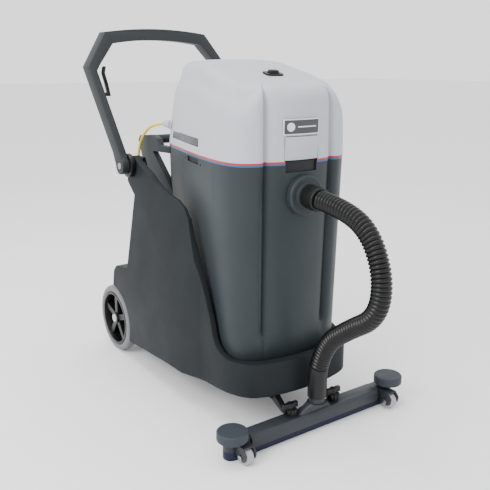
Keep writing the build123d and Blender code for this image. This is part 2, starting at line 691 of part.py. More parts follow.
with BuildPart() as hangers:
    for side, _ in SIDES:
        x = side * ARM_X
        for cheek in (-1, 1):
            low, high = sorted((x + cheek * 9, x + cheek * 13))
            add(yz_plate([(FLOAT_Y - 10, FLOAT_Z - 10), (FLOAT_Y + 12, FLOAT_Z - 10),
                          (FLOAT_Y + 12, FLOOR_BOTTOM_Z), (FLOAT_Y - 10, FLOOR_BOTTOM_Z)],
                         low, high))
        add(x_cylinder(x - 16, x + 16, FLOAT_Y, FLOAT_Z, 4))
save(hangers, "squeegee_hangers")

for side, name in SIDES:
    with BuildPart() as roller:
        with BuildSketch(Plane.XY.offset(56 + GAP)):
            with Locations((side * ROLLER_X, -399)):
                Circle(ROLLER_R)
        extrude(amount=23)
        fillet(roller.edges().filter_by(GeomType.CIRCLE), 4)
        add(z_cylinder(side * ROLLER_X, -399, 50, 74 + GAP, 6 + RUN), mode=Mode.SUBTRACT)
    save(roller, f"bumper_roller_{name}")

    wheel_x = side * FRONT_WHEEL_X
    with BuildPart() as wheel:
        add(x_cylinder(wheel_x - 10.5, wheel_x + 10.5, FRONT_WHEEL_Y, FRONT_WHEEL_R,
                       FRONT_WHEEL_R))
        fillet(wheel.edges().filter_by(GeomType.CIRCLE), 3)
        add(x_cylinder(wheel_x - 30, wheel_x + 30, FRONT_WHEEL_Y, FRONT_WHEEL_R, 3 + RUN),
            mode=Mode.SUBTRACT)
    save(wheel, f"front_wheel_{name}")

    knob_x = side * ARM_X
    with BuildPart() as knob:
        with BuildSketch(Plane.XY.offset(BAR_TOP_Z + 6 + GAP)):
            with Locations((knob_x, -382)):
                Circle(14)
                with PolarLocations(14, 10):
                    Circle(3)
        extrude(amount=14)
        with BuildSketch(Plane.XY.offset(72)):
            with Locations((knob_x, -382)):
                Rectangle(42, 9)
                Circle(8)
        extrude(amount=14)
        add(z_cylinder(knob_x, -382, 50, 66 + GAP, 4 + RUN), mode=Mode.SUBTRACT)
    save(knob, f"squeegee_knob_{name}")

# ---------------------------------------------------------------- suction hose
def route_radii(points):
    """Largest tangent-arc radius at each corner that its two runs allow."""
    radii = []
    for before, corner, after in zip(points, points[1:], points[2:]):
        run_in = Vector(corner) - Vector(before)
        run_out = Vector(after) - Vector(corner)
        turn = radians(run_in.get_angle(run_out))
        shorter = min(run_in.length, run_out.length)
        radii.append(0.45 * shorter / tan(turn / 2))
    return radii


def tube(points, diameter):
    """Round tube along straight runs joined by tangent arcs."""
    radii = route_radii(points)
    with BuildPart() as swept:
        with BuildLine() as path:
            FilletPolyline(*points, radius=radii)
        line = path.wires()[0]
        with BuildSketch(Plane(origin=line @ 0, z_dir=line % 0)):
            Circle(diameter / 2)
        sweep(path=line)
    share = swept.part.volume / (pi * diameter**2 / 4 * line.length)
    print("radii", [round(r) for r in radii], "length", round(line.length), "volume share",
          round(share, 3))
    return swept.part


with BuildPart() as hose:
    add(tube([(0, y, z) for y, z in HOSE_ROUTE], HOSE_D))
save(hose, "suction_hose")

start, second = (Vector(0, *HOSE_ROUTE[0]), Vector(0, *HOSE_ROUTE[1]))
with BuildPart() as upper_cuff:
    with BuildSketch(Plane(origin=start, z_dir=start - second)):
        Circle(29)
    extrude(amount=39)
    fillet(upper_cuff.edges().group_by(Axis.Y)[0], 3)
    add(block((-60, 60), (INLET_FACE_Y - 8, -300), (500, 680)), mode=Mode.SUBTRACT)
save(upper_cuff, "hose_cuff_upper")

end, before_end = (Vector(0, *HOSE_ROUTE[-1]), Vector(0, *HOSE_ROUTE[-2]))
with BuildPart() as lower_cuff:
    with BuildSketch(Plane(origin=end, z_dir=end - before_end)):
        Circle(24)
    with BuildSketch(Plane.XY.offset(150)):
        with Locations((0, SQUEEGEE_Y)):
            Circle(24)
    loft()
    add(z_cylinder(0, SQUEEGEE_Y, 92, 150, 24))
save(lower_cuff, "hose_cuff_lower")

# ---------------------------------------------------------------- mains lead
with BuildPart() as lead:
    add(tube(CORD_ROUTE, CORD_D))
save(lead, "mains_lead")

COIL_TOP_Z = 41
with BuildPart() as coil:
    add(z_cylinder(*COIL_CENTRE, 0, COIL_TOP_Z, COIL_OUTER_R))
    add(z_cylinder(*COIL_CENTRE, -1, COIL_TOP_Z + 1, COIL_INNER_R), mode=Mode.SUBTRACT)
    fillet(coil.edges().filter_by(GeomType.CIRCLE), 6)
save(coil, "lead_coil")

with BuildPart() as plug:
    with BuildSketch(Plane.XZ.offset(-(COIL_CENTRE[1] - 26))):
        with Locations((PLUG_X, COIL_TOP_Z + 9)):
            RectangleRounded(16, 13, 5)
    with BuildSketch(Plane.XZ.offset(-(COIL_CENTRE[1] + 10))):
        with Locations((PLUG_X, COIL_TOP_Z + 12)):
            RectangleRounded(32, 23, 8)
    loft()
    with BuildSketch(Plane.XZ.offset(-(COIL_CENTRE[1] + 10))):
        with Locations((PLUG_X, COIL_TOP_Z + 12)):
            RectangleRounded(32, 23, 8)
    extrude(amount=-14)
save(plug, "plug")
with BuildPart() as pins:
    for offset_x in (-6.5, 6.5):
        add(block((PLUG_X + offset_x - 0.8, PLUG_X + offset_x + 0.8),
                  (COIL_CENTRE[1] + 24, COIL_CENTRE[1] + 42), (COIL_TOP_Z + 9, COIL_TOP_Z + 15.4)))
save(pins, "plug_pins")
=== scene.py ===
"""Looks of a wet and dry vacuum cleaner on a trolley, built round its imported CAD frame.

Sizes in the classes are millimetres in the CAD model's frame: +Z up, the squeegee end
towards -Y, floor at Z = 0. MM turns them to the metres that Blender uses.
"""

import json
import logging
import math
from dataclasses import dataclass
from enum import Enum

import bmesh
import bpy
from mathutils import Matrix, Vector

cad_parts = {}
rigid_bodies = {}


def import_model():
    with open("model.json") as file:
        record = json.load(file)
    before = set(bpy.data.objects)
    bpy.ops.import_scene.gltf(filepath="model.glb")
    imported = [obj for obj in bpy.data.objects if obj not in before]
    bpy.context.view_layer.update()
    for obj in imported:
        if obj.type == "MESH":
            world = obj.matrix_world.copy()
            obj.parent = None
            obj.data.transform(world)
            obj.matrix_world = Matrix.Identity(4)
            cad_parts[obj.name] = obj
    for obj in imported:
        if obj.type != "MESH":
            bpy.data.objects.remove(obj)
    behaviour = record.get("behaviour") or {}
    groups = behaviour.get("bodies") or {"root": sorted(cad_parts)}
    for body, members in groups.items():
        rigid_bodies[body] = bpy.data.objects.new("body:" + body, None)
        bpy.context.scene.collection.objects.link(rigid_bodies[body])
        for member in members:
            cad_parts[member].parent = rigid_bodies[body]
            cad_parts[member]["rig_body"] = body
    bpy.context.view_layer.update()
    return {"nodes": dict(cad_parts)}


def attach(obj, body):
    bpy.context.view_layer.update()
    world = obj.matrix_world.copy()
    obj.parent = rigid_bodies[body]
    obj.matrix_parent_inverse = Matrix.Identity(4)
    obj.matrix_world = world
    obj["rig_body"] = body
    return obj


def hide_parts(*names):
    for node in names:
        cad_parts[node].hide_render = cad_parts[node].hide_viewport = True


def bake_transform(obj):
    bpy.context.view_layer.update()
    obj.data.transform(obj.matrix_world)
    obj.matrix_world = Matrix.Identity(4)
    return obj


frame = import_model()
LOG = logging.getLogger("vacuum_cleaner")
MM = 0.001
SIDES = {"left": -1, "right": 1}
Point = tuple[float, float, float]


# ---------------------------------------------------------------- materials
def to_linear(code: str) -> tuple[float, float, float, float]:
    """Turn an sRGB hex colour into Blender's linear colour.

    Args:
        code: Colour such as "#c9cdd1".

    Returns:
        Linear red, green, blue and an alpha of 1.
    """
    channels = [int(code[start:start + 2], 16) / 255 for start in (1, 3, 5)]
    linear = [c / 12.92 if c <= 0.04045 else ((c + 0.055) / 1.055) ** 2.4 for c in channels]
    return (linear[0], linear[1], linear[2], 1.0)


def add_node(tree: bpy.types.NodeTree, kind: str, settings: dict | None = None,
             values: dict | None = None, links: dict | None = None) -> bpy.types.Node:
    """Add one shader node.

    Args:
        tree: Node tree of the material.
        kind: Blender's type name of the node.
        settings: Properties of the node by name.
        values: Input values by socket name or number.
        links: Output sockets that feed the inputs, by socket name or number.

    Returns:
        The new node.
    """
    node = tree.nodes.new(kind)
    for name, value in (settings or {}).items():
        setattr(node, name, value)
    for socket, value in (values or {}).items():
        node.inputs[socket].default_value = value
    for socket, source in (links or {}).items():
        tree.links.new(source, node.inputs[socket])
    return node


class Lay(Enum):
    """Direction of the fine lines that a tool or a die leaves in a surface."""

    NONE = (1.0, 1.0, 1.0)
    ALONG_X = (0.04, 1.0, 1.0)


@dataclass(frozen=True)
class Finish:
    """A surface with soft clouds of colour, a fine grain and a little wear.

    The clouds are the slow change of tone in a moulding, the grain is the texture of its
    mould, and the wear is the paler scuffing of high spots.
    """

    name: str
    colour: str
    cloud_colour: str
    roughness: float
    cloud_mm: float = 90.0
    grain_mm: float = 1.6  # real mould grain is 0.2 to 0.5 mm; drawn coarser so that it shows
    grain_depth_mm: float = 0.05
    scuff_colour: str = ""
    scuff_mm: float = 14.0
    metallic: float = 0.0
    ior: float = 1.5
    specular: float = 0.3
    coat: float = 0.0
    lay: Lay = Lay.NONE

    def build(self) -> bpy.types.Material:
        """Make the material once, and hand it back after that.

        Returns:
            The material.
        """
        made = bpy.data.materials.get(self.name)
        if made is not None:
            return made
        material = bpy.data.materials.new(self.name)
        material.use_nodes = True
        tree = material.node_tree
        tree.nodes.clear()
        place = add_node(tree, "ShaderNodeTexCoord").outputs["Object"]
        if self.lay is not Lay.NONE:
            stretch = add_node(tree, "ShaderNodeMapping", values={"Scale": self.lay.value},
                               links={"Vector": place})
            grain_place = stretch.outputs["Vector"]
        else:
            grain_place = place
        clouds = add_node(tree, "ShaderNodeTexNoise", links={"Vector": place},
                          values={"Scale": 1 / (self.cloud_mm * MM), "Detail": 3.0})
        grain = add_node(tree, "ShaderNodeTexNoise", links={"Vector": grain_place},
                         values={"Scale": 1 / (self.grain_mm * MM), "Detail": 2.0})
        tint = add_node(tree, "ShaderNodeMix", settings={"data_type": "RGBA"},
                        values={6: to_linear(self.colour), 7: to_linear(self.cloud_colour)},
                        links={0: clouds.outputs["Fac"]})
        colour = tint.outputs[2]
        if self.scuff_colour:
            scuffs = add_node(tree, "ShaderNodeTexNoise", links={"Vector": place},
                              values={"Scale": 1 / (self.scuff_mm * MM), "Detail": 6.0,
                                      "Roughness": 0.75})
            rare = add_node(tree, "ShaderNodeMapRange", links={0: scuffs.outputs["Fac"]},
                            values={1: 0.62, 2: 0.8, 3: 0.0, 4: 0.55})
            worn = add_node(tree, "ShaderNodeMix", settings={"data_type": "RGBA"},
                            values={7: to_linear(self.scuff_colour)},
                            links={0: rare.outputs[0], 6: colour})
            colour = worn.outputs[2]
        gloss = add_node(tree, "ShaderNodeMapRange", links={0: clouds.outputs["Fac"]},
                         values={1: 0.3, 2: 0.7, 3: self.roughness * 0.93,
                                 4: min(1.0, self.roughness * 1.07)})
        bump = add_node(tree, "ShaderNodeBump", links={"Height": grain.outputs["Fac"]},
                        values={"Strength": 0.6, "Distance": self.grain_depth_mm * MM})
        shader = add_node(tree, "ShaderNodeBsdfPrincipled",
                          values={"Metallic": self.metallic, "IOR": self.ior,
                                  "Specular IOR Level": self.specular, "Coat Weight": self.coat},
                          links={"Base Color": colour, "Roughness": gloss.outputs[0],
                                 "Normal": bump.outputs["Normal"]})
        add_node(tree, "ShaderNodeOutputMaterial", links={"Surface": shader.outputs["BSDF"]})
        return material


# Light grey ABS moulding with a satin spark-eroded grain
HEAD_ABS = Finish("satin_light_grey_abs", "#b1b5bb", "#a9adb3", 0.5, scuff_colour="#bec1c5")
# Blue-grey polypropylene, blow moulded: a soft sheen and slow clouds
TANK_PP = Finish("blow_moulded_grey_pp", "#2d3437", "#282e31", 0.44, cloud_mm=130,
                 scuff_colour="#373e41", specular=0.2)
# Rotationally moulded polyethylene: waxy, a little orange peel, dull
TROLLEY_PE = Finish("rotomoulded_grey_pe", "#1f2326", "#1b1f21", 0.55, grain_mm=3.0,
                    grain_depth_mm=0.12, scuff_colour="#2a2e31", specular=0.12)
# Glass-filled nylon of the push handle: even, matt
HANDLE_NYLON = Finish("matt_grey_nylon", "#212628", "#1e2224", 0.5, scuff_colour="#33383a")
# Black ABS of knobs, switch and cuffs
BLACK_ABS = Finish("black_abs", "#0a0a0b", "#0f0f10", 0.36, cloud_mm=30, scuff_colour="#1b1b1d")
# Black flexible PVC of the hose: glossy ribs
HOSE_PVC = Finish("black_ribbed_pvc", "#060607", "#0a0a0b", 0.3, cloud_mm=25, grain_mm=1.2,
                  scuff_colour="#141415")
# Thicker black PVC of the cuffs: a duller sheen than the hose
CUFF_PVC = Finish("black_cuff_pvc", "#0d0d0e", "#121213", 0.42, cloud_mm=25,
                  scuff_colour="#1c1c1d")
# Red and blue vinyl pinstripes: smooth and glossy
RED_VINYL = Finish("red_vinyl", "#b8233a", "#a91d33", 0.32, grain_depth_mm=0.01)
BLUE_VINYL = Finish("blue_vinyl", "#2c5d86", "#265277", 0.32, grain_depth_mm=0.01)
# Printed polycarbonate badge film
BADGE_GREY = Finish("grey_badge_film", "#45474b", "#3d3f43", 0.3, cloud_mm=20,
                    grain_depth_mm=0.01)
BADGE_WHITE = Finish("white_badge_film", "#dcdddf", "#d2d3d5", 0.3, cloud_mm=20,
                     grain_depth_mm=0.01)
# Dark teal-grey glossy window of the side hatch
HATCH_DARK = Finish("dark_hatch_plastic", "#3a4448", "#333c40", 0.25, cloud_mm=30)
# Nearly black, dull colour on the walls of pockets, slots and holes: painted shade that stands in
# for the shadow inside these recesses
POCKET_PAINTED_SHADE = Finish("painted_shade_pocket_plastic", "#15171a", "#1c1e21", 0.6, cloud_mm=30)
# Non-marking grey thermoplastic rubber of the rear tyres
TYRE_TPR = Finish("grey_tyre_rubber", "#727376", "#68696c", 0.62, cloud_mm=40,
                  grain_mm=2.0, grain_depth_mm=0.1, scuff_colour="#5a5a5b")
# Pale hard polyurethane of the small wheels
PALE_PU = Finish("pale_polyurethane", "#a3a3a6", "#959598", 0.4, cloud_mm=15,
                 scuff_colour="#7e7e80")
# Pale nylon of the hub caps: smooth, a soft highlight
PALE_NYLON = Finish("pale_nylon_cap", "#bcbcb8", "#aeaeaa", 0.35, cloud_mm=10)
# Zinc-plated steel: bright, with fine drawn lines
ZINC = Finish("zinc_plated_steel", "#a9abae", "#989a9d", 0.34, cloud_mm=12, grain_mm=0.8,
              metallic=1.0, lay=Lay.ALONG_X)
# Pressed steel of the motor and fan case: grey, softly bright
MOTOR_STEEL = Finish("pressed_motor_steel", "#8c8e90", "#7c7e80", 0.4, metallic=1.0)
# Cast aluminium of the fan: pale metal, slightly blurred
ALUMINIUM = Finish("cast_aluminium", "#b4b6b8", "#a2a4a6", 0.38, metallic=1.0)
# Black coated steel of the arms: dark, with worn grey spots
BLACK_STEEL = Finish("black_coated_steel", "#17181a", "#1f2022", 0.42, cloud_mm=20,
                     scuff_colour="#3a3b3d")
# Powder-coated aluminium squeegee bar
BAR_COAT = Finish("grey_powder_coat", "#2c3035", "#272b30", 0.45, cloud_mm=45, grain_mm=1.4,
                  grain_depth_mm=0.09, scuff_colour="#45423f")
# Grey rubber of the bumper rollers: dull and even
ROLLER_RUBBER = Finish("grey_roller_rubber", "#2f353d", "#2a3037", 0.6, cloud_mm=25,
                       scuff_colour="#414850")
# Navy squeegee rubber: smooth, a low sheen
BLADE_RUBBER = Finish("navy_blade_rubber", "#0c0e2a", "#111434", 0.42, cloud_mm=25,
                      scuff_colour="#1c1f42")
# Black foam rubber of the head's gasket: no gloss
SEAL_RUBBER = Finish("black_seal_rubber", "#121212", "#1a1a1a", 0.7, cloud_mm=20)
# Needled felt of the filter: fibrous and matt
FILTER_FELT = Finish("needled_filter_felt", "#c9c3b4", "#b8b1a1", 0.95, cloud_mm=12,
                     grain_mm=1.5, grain_depth_mm=0.4)
# White polypropylene of the float ball: satin
BALL_PP = Finish("white_ball_pp", "#c4c5c6", "#b6b7b8", 0.4, cloud_mm=20)
# Yellow PVC jacket of the mains lead
LEAD_PVC = Finish("yellow_lead_pvc", "#f0cc18", "#e6c012", 0.38, cloud_mm=18, grain_mm=1.2,
                  scuff_colour="#b08e22")
# Machined brass of the plug's pins: yellow and bright
BRASS = Finish("machined_brass", "#c8a25a", "#b8924c", 0.3, metallic=1.0, cloud_mm=6)


# ---------------------------------------------------------------- mesh tools
def select_only(piece: bpy.types.Object) -> None:
    """Deselect everything, then select one object and make it active.

    Args:
        piece: Mesh object.
    """
    bpy.ops.object.select_all(action="DESELECT")
    piece.select_set(True)
    bpy.context.view_layer.objects.active = piece


def apply_modifiers(piece: bpy.types.Object) -> None:
    """Apply every modifier of a piece in order.

    Args:
        piece: Mesh object.
    """
    select_only(piece)
    for modifier in list(piece.modifiers):
        bpy.ops.object.modifier_apply(modifier=modifier.name)


def smooth(piece: bpy.types.Object, angle: float = 35.0) -> None:
    """Shade smooth, except over edges sharper than an angle in degrees.

    Args:
        piece: Mesh object.
        angle: The angle, in degrees.
    """
    select_only(piece)
    bpy.ops.object.shade_smooth_by_angle(angle=math.radians(angle))


def dress(piece: bpy.types.Object, finish: Finish) -> None:
    """Give a piece, or a CAD node, its one material.

    Args:
        piece: Mesh object.
        finish: What it is made of.
    """
    if piece.data.materials:
        for index in range(len(piece.data.materials)):
            piece.data.materials[index] = finish.build()
    else:
        piece.data.materials.append(finish.build())


def bevel(piece: bpy.types.Object, width_mm: float, segments: int = 2,
          angle: float = 30.0) -> None:
    """Round the edges of a piece that turn by more than an angle.

    Args:
        piece: Mesh object.
        width_mm: Width of the rounding.
        segments: Faces across it.
        angle: Smallest turn that is rounded, in degrees.
    """
    modifier = piece.modifiers.new("rounding", "BEVEL")
    modifier.width = width_mm * MM
    modifier.segments = segments
    modifier.limit_method = "ANGLE"
    modifier.angle_limit = math.radians(angle)
    modifier.use_clamp_overlap = True
    apply_modifiers(piece)


def combine(target: bpy.types.Object, tool: bpy.types.Object, operation: str) -> None:
    """Cut a tool from a piece, or join it on, and remove the tool.

    Args:
        target: Closed mesh that stays.
        tool: Closed mesh that is used up.
        operation: Blender's name, DIFFERENCE, UNION or INTERSECT.
    """
    modifier = target.modifiers.new("combine", "BOOLEAN")
    modifier.operation = operation
    modifier.object = tool
    modifier.solver = "EXACT"
    modifier.material_mode = "TRANSFER"
    apply_modifiers(target)
    bpy.data.objects.remove(tool)


def soften(node: str, finish: Finish, width_mm: float = 1.5, segments: int = 2,
           angle: float = 30.0) -> bpy.types.Object:
    """Stand a copy with rounded edges in the place of a CAD node.

    Args:
        node: Name of the CAD node.
        finish: What the copy is made of.
        width_mm: Width of the rounded edges.
        segments: Faces across an edge.
        angle: Smallest turn that is rounded, in degrees.

    Returns:
        The copy, riding on the node's body.
    """
    source = frame["nodes"][node]
    piece = bpy.data.objects.new(f"{node}_moulded", source.data.copy())
    bpy.context.scene.collection.objects.link(piece)
    select_only(piece)
    if piece.data.has_custom_normals:
        bpy.ops.mesh.customdata_custom_splitnormals_clear()
    bpy.ops.object.mode_set(mode="EDIT")
    bpy.ops.mesh.select_all(action="SELECT")
    bpy.ops.mesh.remove_doubles(threshold=0.01 * MM)
    bpy.ops.mesh.dissolve_limited(angle_limit=math.radians(0.6))
    bpy.ops.object.mode_set(mode="OBJECT")
    bevel(piece, width_mm, segments, angle)
    smooth(piece)
    dress(piece, finish)
    stand_for(piece, source["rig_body"], node)
    return piece


def stand_for(piece: bpy.types.Object, body: str, *nodes: str) -> None:
    """Ride a piece on a body, replace CAD nodes with it, and report it.

    Args:
        piece: Mesh object.
        body: Body that it moves with.
        nodes: CAD nodes that it stands for, which are hidden.
    """
    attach(piece, body)
    if nodes:
        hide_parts(*nodes)
    LOG.info("%s rides on %s", piece.name, body)


def smooth_loop(points: list[tuple[float, float]], rounds: int = 2,
                closed: bool = True) -> list[tuple[float, float]]:
    """Cut the corners of an outline until it is a smooth curve.

    Args:
        points: Corners; a doubled corner stays sharp.
        rounds: How often the corners are cut.
        closed: Whether the last point joins the first.

    Returns:
        The points of the smooth curve.
    """
    for _ in range(rounds):
        pairs = list(zip(points, points[1:] + points[:1] if closed else points[1:]))
        cut = []
        for (ax, ay), (bx, by) in pairs:
            cut.append((0.75 * ax + 0.25 * bx, 0.75 * ay + 0.25 * by))
            cut.append((0.25 * ax + 0.75 * bx, 0.25 * ay + 0.75 * by))
        points = cut if closed else [points[0], *cut, points[-1]]
    return points


def loft(name: str, rings: list[list[Point]], cap_first: bool = True,
         cap_last: bool = True) -> bpy.types.Object:
    """Draw a circle, set it on the first ring and extrude it through the others.

    Args:
        name: Name of the piece.
        rings: Rings with the same number of points, in millimetres.
        cap_first: Whether the first ring is filled.
        cap_last: Whether the last ring is filled.

    Returns:
        The mesh object, with its normals outwards.
    """
    count = len(rings[0])
    bpy.ops.object.select_all(action="DESELECT")
    bpy.ops.mesh.primitive_circle_add(vertices=count, radius=0.1, fill_type="NOTHING")
    piece = bpy.context.object
    piece.name = name
    places = [Vector(point) * MM for point in rings[0]]
    for vertex, place in zip(piece.data.vertices, places):
        vertex.co = place
    bpy.ops.object.mode_set(mode="EDIT")
    bpy.ops.mesh.select_all(action="SELECT")
    for ring in rings[1:]:
        bpy.ops.mesh.extrude_region_move()
        shape = bmesh.from_edit_mesh(piece.data)
        targets = [Vector(point) * MM for point in ring]
        for vertex in shape.verts:
            if vertex.select:
                nearest = min(range(count), key=lambda i: (vertex.co - places[i]).length_squared)
                vertex.co = targets[nearest]
        places = targets
        bmesh.update_edit_mesh(piece.data)
    if cap_last:
        bpy.ops.mesh.edge_face_add()
    if cap_first:
        bpy.ops.mesh.select_all(action="DESELECT")
        shape = bmesh.from_edit_mesh(piece.data)
        shape.verts.ensure_lookup_table()
        for vertex in shape.verts[:count]:
            vertex.select = True
        shape.select_flush(True)
        bpy.ops.mesh.edge_face_add()
    bpy.ops.mesh.select_all(action="SELECT")
    bpy.ops.mesh.remove_doubles(threshold=0.01 * MM)
    bpy.ops.mesh.select_all(action="SELECT")
    bpy.ops.mesh.normals_make_consistent(inside=False)
    bpy.ops.object.mode_set(mode="OBJECT")
    return piece


def trim(piece: bpy.types.Object, point: Point, normal: Point) -> None:
    """Cut away the side of a mesh that a plane's normal points to.

    Args:
        piece: Mesh object.
        point: A point of the plane, in millimetres.
        normal: Direction of the part that goes.
    """
    select_only(piece)
    bpy.ops.object.mode_set(mode="EDIT")
    bpy.ops.mesh.select_all(action="SELECT")
    bpy.ops.mesh.bisect(plane_co=Vector(point) * MM, plane_no=normal, clear_outer=True)
    bpy.ops.object.mode_set(mode="OBJECT")


def thicken(piece: bpy.types.Object, depth_mm: float) -> None:
    """Give a sheet a wall that grows inwards.

    Args:
        piece: Mesh object.
        depth_mm: Thickness of the wall.
    """
    modifier = piece.modifiers.new("wall", "SOLIDIFY")
    modifier.thickness = depth_mm * MM
    modifier.offset = -1.0
    modifier.use_even_offset = True
    apply_modifiers(piece)


def rounded_box(name: str, low: Point, high: Point, radius_mm: float,
                segments: int = 2) -> bpy.types.Object:
    """A block between two corners with rounded edges, in millimetres.

    Args:
        name: Name of the piece.
        low: Lowest corner.
        high: Highest corner.
        radius_mm: Width of the rounding.
        segments: Faces across it.

    Returns:
        The mesh object.
    """
    bpy.ops.object.select_all(action="DESELECT")
    size = [(b - a) * MM for a, b in zip(low, high)]
    middle = [(a + b) / 2 * MM for a, b in zip(low, high)]
    bpy.ops.mesh.primitive_cube_add(size=1.0, location=middle, scale=size)
    piece = bpy.context.object
    piece.name = name
    settle(piece)
    bevel(piece, radius_mm, segments)
    return piece


def settle(piece: bpy.types.Object) -> None:
    """Move a piece's place, turn and size into its mesh."""
    select_only(piece)
    bpy.ops.object.transform_apply(location=True, rotation=True, scale=True)


def round_bar(name: str, centre: Point, radius_mm: float, depth_mm: float,
              turn: Point = (0.0, 0.0, 0.0), sides: int = 40) -> bpy.types.Object:
    """A cylinder about a centre.

    Args:
        name: Name of the piece.
        centre: Middle of the bar, in millimetres.
        radius_mm: Radius.
        depth_mm: Length.
        turn: Rotation from upright, in degrees about X, Y and Z.
        sides: Faces round it.

    Returns:
        The mesh object.
    """
    bpy.ops.object.select_all(action="DESELECT")
    bpy.ops.mesh.primitive_cylinder_add(
        vertices=sides, radius=radius_mm * MM, depth=depth_mm * MM,
        location=Vector(centre) * MM, rotation=[math.radians(a) for a in turn])
    piece = bpy.context.object
    piece.name = name
    settle(piece)
    return piece


# ---------------------------------------------------------------- tank and head outline
@dataclass(frozen=True)
class Outline:
    """Plan of the tank and head: bowed front, two corner lobes, narrowing sides."""

    groove_corner: tuple = (98, -302)
    half: tuple = ((32, -330), (84, -319), groove_corner, groove_corner, (112, -319),
                   (149, -301), (166, -277), (170.5, -238), (166, -184), (166, -184), (156, -119),
                   (139.5, -39), (112, 69), (86, 176), (54, 212))
    groove_fill: tuple = (97, -317)  # where the groove's bottom lies once it has faded
    seam_z: float = 669.0
    bottom_z: float = 112.0
    bottom_scale: float = 0.955

    def plan(self, groove: float = 1.0) -> list[tuple[float, float]]:
        """Smooth outline with the corner grooves at a share of their depth.

        Args:
            groove: Share of the grooves' depth.

        Returns:
            The points of the outline, in millimetres.
        """
        half = []
        for x, y in self.half:
            if (x, y) == self.groove_corner:
                x = self.groove_fill[0] + (x - self.groove_fill[0]) * groove
                y = self.groove_fill[1] + (y - self.groove_fill[1]) * groove
            half.append((x, y))
        mirrored = [(-x, y) for x, y in reversed(half)]
        return smooth_loop([(0, -332), *half, (0, 222.5), *mirrored])

    def ring(self, z: float, scale: float, groove: float = 1.0, grow: float = 0.0) -> list[Point]:
        """Outline at a height, scaled about the origin and grown outwards by a distance.

        Args:
            z: Height.
            scale: Size of the outline.
            groove: Share of the grooves' depth.
            grow: Distance outwards.

        Returns:
            The ring of points.
        """
        points = []
        for x, y in self.plan(groove):
            away = math.hypot(x, y + 60)
            points.append((x * scale + grow * x / away, y * scale + grow * (y + 60) / away, z))
        return points

    def draft(self, z: float) -> float:
        """Scale of the tank's outline at a height.

        Args:
            z: Height.

        Returns:
            The scale.
        """
        share = (self.seam_z - z) / (self.seam_z - self.bottom_z)
        return 1 - (1 - self.bottom_scale) * share

    def band(self, name: str, low_z: float, high_z: float, grow: float, depth_mm: float,
             groove: float = 1.0) -> bpy.types.Object:
        """A band round the tank between two heights, as thick as asked, inwards.

        Args:
            name: Name of the piece.
            low_z: Lower edge.
            high_z: Upper edge.
            grow: How far the band's face stands outside the tank.
            depth_mm: Thickness of the band.
            groove: Depth of the corner grooves, as a share.

        Returns:
            The band, a closed ring.
        """
        rings = [self.ring(z, self.draft(z), groove, grow) for z in (low_z, high_z)]
        piece = loft(name, rings, cap_first=False, cap_last=False)
        thicken(piece, depth_mm)
        return piece

    def strip(self, name: str, low: Point, high: Point, grow: float,
              depth_mm: float) -> bpy.types.Object:
        """The part of such a band inside a box.

        Args:
            name: Name of the piece.
            low: Lowest corner of the box.
            high: Highest corner of the box.
            grow: How far the strip's face stands outside the tank.
            depth_mm: Thickness of the strip.

        Returns:
            The strip, closed.
        """
        rings = [self.ring(z, self.draft(z), 1.0, grow) for z in (low[2], high[2])]
        piece = loft(name, rings, cap_first=False, cap_last=False)
        for axis in (0, 1):
            normal = [0.0, 0.0, 0.0]
            normal[axis] = 1.0
            trim(piece, high, tuple(normal))
            normal[axis] = -1.0
            trim(piece, low, tuple(normal))
        thicken(piece, depth_mm)
        return piece


OUTLINE = Outline()


